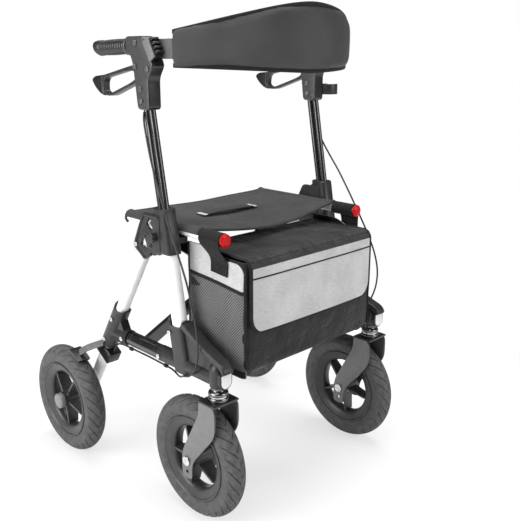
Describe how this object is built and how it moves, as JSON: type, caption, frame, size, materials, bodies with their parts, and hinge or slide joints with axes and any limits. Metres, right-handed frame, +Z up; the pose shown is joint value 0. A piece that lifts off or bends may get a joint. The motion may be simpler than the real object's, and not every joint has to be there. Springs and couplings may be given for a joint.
{
  "type": "rollator",
  "caption": "Folding all terrain rollator with large treaded wheels, swivel casters, brake levers, height adjustable handles, sling seat, padded back band and a shopping bag.",
  "frame": {"origin": "on the floor, midway between the rear axles and the trailing caster axles, in the middle", "axes": "+X is the walking direction, +Y the user's left, +Z up"},
  "size_m": [0.68, 0.6426, 1.0179],
  "materials": {
    "white_paint": "gloss white powder coat",
    "black_paint": "satin black powder coat",
    "black_casting": "fine grained moulding",
    "handle_casting": "fine grained moulding",
    "wheel_plastic": "satin moulding",
    "tyre_rubber": "treaded rubber",
    "grip_rubber": "soft ribbed rubber",
    "bright_steel": "zinc plated",
    "lever_metal": "satin dark grey coat",
    "red_plastic": "gloss",
    "pale_plastic": "satin",
    "cable_sheath": "smooth sheath",
    "seat_nylon": "black woven nylon",
    "bag_nylon": "black woven nylon with grey panels",
    "flap_cloth": "grey mottled cloth with dark binding",
    "back_cloth": "padded cloth with binding"
  },
  "bodies": {
    "right_side": {"right_front_leg": "white_paint", "right_rear_leg": "white_paint", "right_hub": "black_casting", "right_rear_bracket": "black_casting", "right_front_bracket": "black_casting", "right_lower_tube": "black_paint", "right_front_cap": "pale_plastic", "right_frame_bolts": "bright_steel", "right_brake_housing": "black_casting", "right_brake_cable": "cable_sheath"},
    "right_handle": {"right_handle_tubes": "black_paint", "right_handle_bracket": "handle_casting", "right_grip": "grip_rubber", "right_handle_fittings": "bright_steel", "backrest_pad": "back_cloth"},
    "right_lever": {"right_brake_lever": "lever_metal"},
    "right_release": {"right_backrest_release": "black_casting"},
    "right_brake": {"right_brake_arm": "lever_metal"},
    "right_knob": {"right_clamp_knob": "black_casting"},
    "right_rear_wheel": {"right_rear_tyre": "tyre_rubber", "right_rear_wheel": "wheel_plastic"},
    "right_fork": {"right_fork": "black_paint", "right_caster_hardware": "bright_steel"},
    "right_caster": {"right_caster_tyre": "tyre_rubber", "right_caster_wheel": "wheel_plastic"},
    "left_side": {"left_front_leg": "white_paint", "left_rear_leg": "white_paint", "left_hub": "black_casting", "left_rear_bracket": "black_casting", "left_front_bracket": "black_casting", "left_lower_tube": "black_paint", "left_front_cap": "pale_plastic", "left_frame_bolts": "bright_steel", "left_brake_housing": "black_casting", "left_brake_cable": "cable_sheath"},
    "left_handle": {"left_handle_tubes": "black_paint", "left_handle_bracket": "handle_casting", "left_grip": "grip_rubber", "left_handle_fittings": "bright_steel", "stick_clip": "black_casting"},
    "left_lever": {"left_brake_lever": "lever_metal"},
    "left_release": {"left_backrest_release": "black_casting"},
    "left_brake": {"left_brake_arm": "lever_metal"},
    "left_knob": {"left_clamp_knob": "black_casting"},
    "left_rear_wheel": {"left_rear_tyre": "tyre_rubber", "left_rear_wheel": "wheel_plastic"},
    "left_fork": {"left_fork": "black_paint", "left_caster_hardware": "bright_steel"},
    "left_caster": {"left_caster_tyre": "tyre_rubber", "left_caster_wheel": "wheel_plastic"},
    "brace_a": {"brace_a": "black_paint", "left_seat_rail": "white_paint", "left_rail_cap": "red_plastic"},
    "brace_b": {"brace_b": "black_paint", "right_seat_rail": "white_paint", "right_rail_cap": "red_plastic"},
    "seat_bag": {"seat_sling": "seat_nylon", "bag": "bag_nylon"},
    "flap": {"bag_flap": "flap_cloth"}
  },
  "joints": [
    {"name": "fold", "type": "hinge", "parent": "right_side", "child": "brace_a", "pos_m": [0, -0.236, 0.32], "axis": [1, 0, 0], "range_deg": [0, 45], "deforming": ["seat_sling", "bag", "bag_flap", "backrest_pad"]},
    {"name": "brace_cross", "type": "hinge", "parent": "brace_a", "child": "brace_b", "pos_m": [0, 0, 0.43], "axis": [1, 0, 0], "range_deg": [-90, 0]},
    {"name": "left_fold", "type": "hinge", "parent": "brace_b", "child": "left_side", "pos_m": [0, 0.236, 0.32], "axis": [1, 0, 0], "range_deg": [0, 45]},
    {"name": "seat_swing", "type": "hinge", "parent": "brace_a", "child": "seat_bag", "pos_m": [0, 0.198, 0.585], "axis": [1, 0, 0], "range_deg": [-45, 0]},
    {"name": "flap_lift", "type": "hinge", "parent": "seat_bag", "child": "flap", "pos_m": [0.138, 0, 0.55], "axis": [0, 1, 0], "range_deg": [-60, 0]},
    {"name": "right_handle_slide", "type": "slide", "parent": "right_side", "child": "right_handle", "axis": [-0.1736, 0, 0.9848], "range_m": [-0.1, 0.04], "deforming": ["right_brake_cable"]},
    {"name": "right_lever_squeeze", "type": "hinge", "parent": "right_handle", "child": "right_lever", "pos_m": [0.06188, -0.236, 0.90192], "axis": [0, 1, 0], "range_deg": [0, 12], "stiffness_Nm_per_rad": 3, "springref_deg": -5.73},
    {"name": "right_brake_press", "type": "hinge", "parent": "right_side", "child": "right_brake", "pos_m": [-0.121, -0.236, 0.27066], "axis": [0, 1, 0], "range_deg": [-4.3, 0]},
    {"name": "right_release_slide", "type": "slide", "parent": "right_handle", "child": "right_release", "axis": [0.4984, 0, -0.867], "range_m": [0, 0.004], "stiffness_N_per_m": 800, "springref_m": -0.002},
    {"name": "right_knob_turn", "type": "hinge", "parent": "right_side", "child": "right_knob", "pos_m": [0.10894, -0.236, 0.5768], "axis": [0, 1, 0], "range_deg": [0, 360]},
    {"name": "right_rear_spin", "type": "hinge", "parent": "right_side", "child": "right_rear_wheel", "pos_m": [-0.21, -0.291, 0.13], "axis": [0, 1, 0], "continuous": true},
    {"name": "right_swivel", "type": "hinge", "parent": "right_side", "child": "right_fork", "pos_m": [0.274, -0.24, 0.3], "axis": [0, 0, 1], "continuous": true},
    {"name": "right_caster_spin", "type": "hinge", "parent": "right_fork", "child": "right_caster", "pos_m": [0.21, -0.24, 0.13], "axis": [0, 1, 0], "continuous": true},
    {"name": "left_handle_slide", "type": "slide", "parent": "left_side", "child": "left_handle", "axis": [-0.1736, 0, 0.9848], "range_m": [-0.1, 0.04], "deforming": ["left_brake_cable"]},
    {"name": "left_lever_squeeze", "type": "hinge", "parent": "left_handle", "child": "left_lever", "pos_m": [0.06188, 0.236, 0.90192], "axis": [0, 1, 0], "range_deg": [0, 12], "stiffness_Nm_per_rad": 3, "springref_deg": -5.73},
    {"name": "left_brake_press", "type": "hinge", "parent": "left_side", "child": "left_brake", "pos_m": [-0.121, 0.236, 0.27066], "axis": [0, 1, 0], "range_deg": [-4.3, 0]},
    {"name": "left_release_slide", "type": "slide", "parent": "left_handle", "child": "left_release", "axis": [0.4984, 0, -0.867], "range_m": [0, 0.004], "stiffness_N_per_m": 800, "springref_m": -0.002},
    {"name": "left_knob_turn", "type": "hinge", "parent": "left_side", "child": "left_knob", "pos_m": [0.10894, 0.236, 0.5768], "axis": [0, 1, 0], "range_deg": [0, 360]},
    {"name": "left_rear_spin", "type": "hinge", "parent": "left_side", "child": "left_rear_wheel", "pos_m": [-0.21, 0.291, 0.13], "axis": [0, 1, 0], "continuous": true},
    {"name": "left_swivel", "type": "hinge", "parent": "left_side", "child": "left_fork", "pos_m": [0.274, 0.24, 0.3], "axis": [0, 0, 1], "continuous": true},
    {"name": "left_caster_spin", "type": "hinge", "parent": "left_fork", "child": "left_caster", "pos_m": [0.21, 0.24, 0.13], "axis": [0, 1, 0], "continuous": true}
  ],
  "couplings": [
    {"joint": "brace_cross", "follows": "fold", "ratio": -2},
    {"joint": "left_fold", "follows": "fold", "ratio": 1},
    {"joint": "seat_swing", "follows": "fold", "ratio": -1},
    {"joint": "right_brake_press", "follows": "right_lever_squeeze", "ratio": -0.35},
    {"joint": "left_brake_press", "follows": "left_lever_squeeze", "ratio": -0.35},
    {"joint": "left_handle_slide", "follows": "right_handle_slide", "ratio": 1}
  ]
}
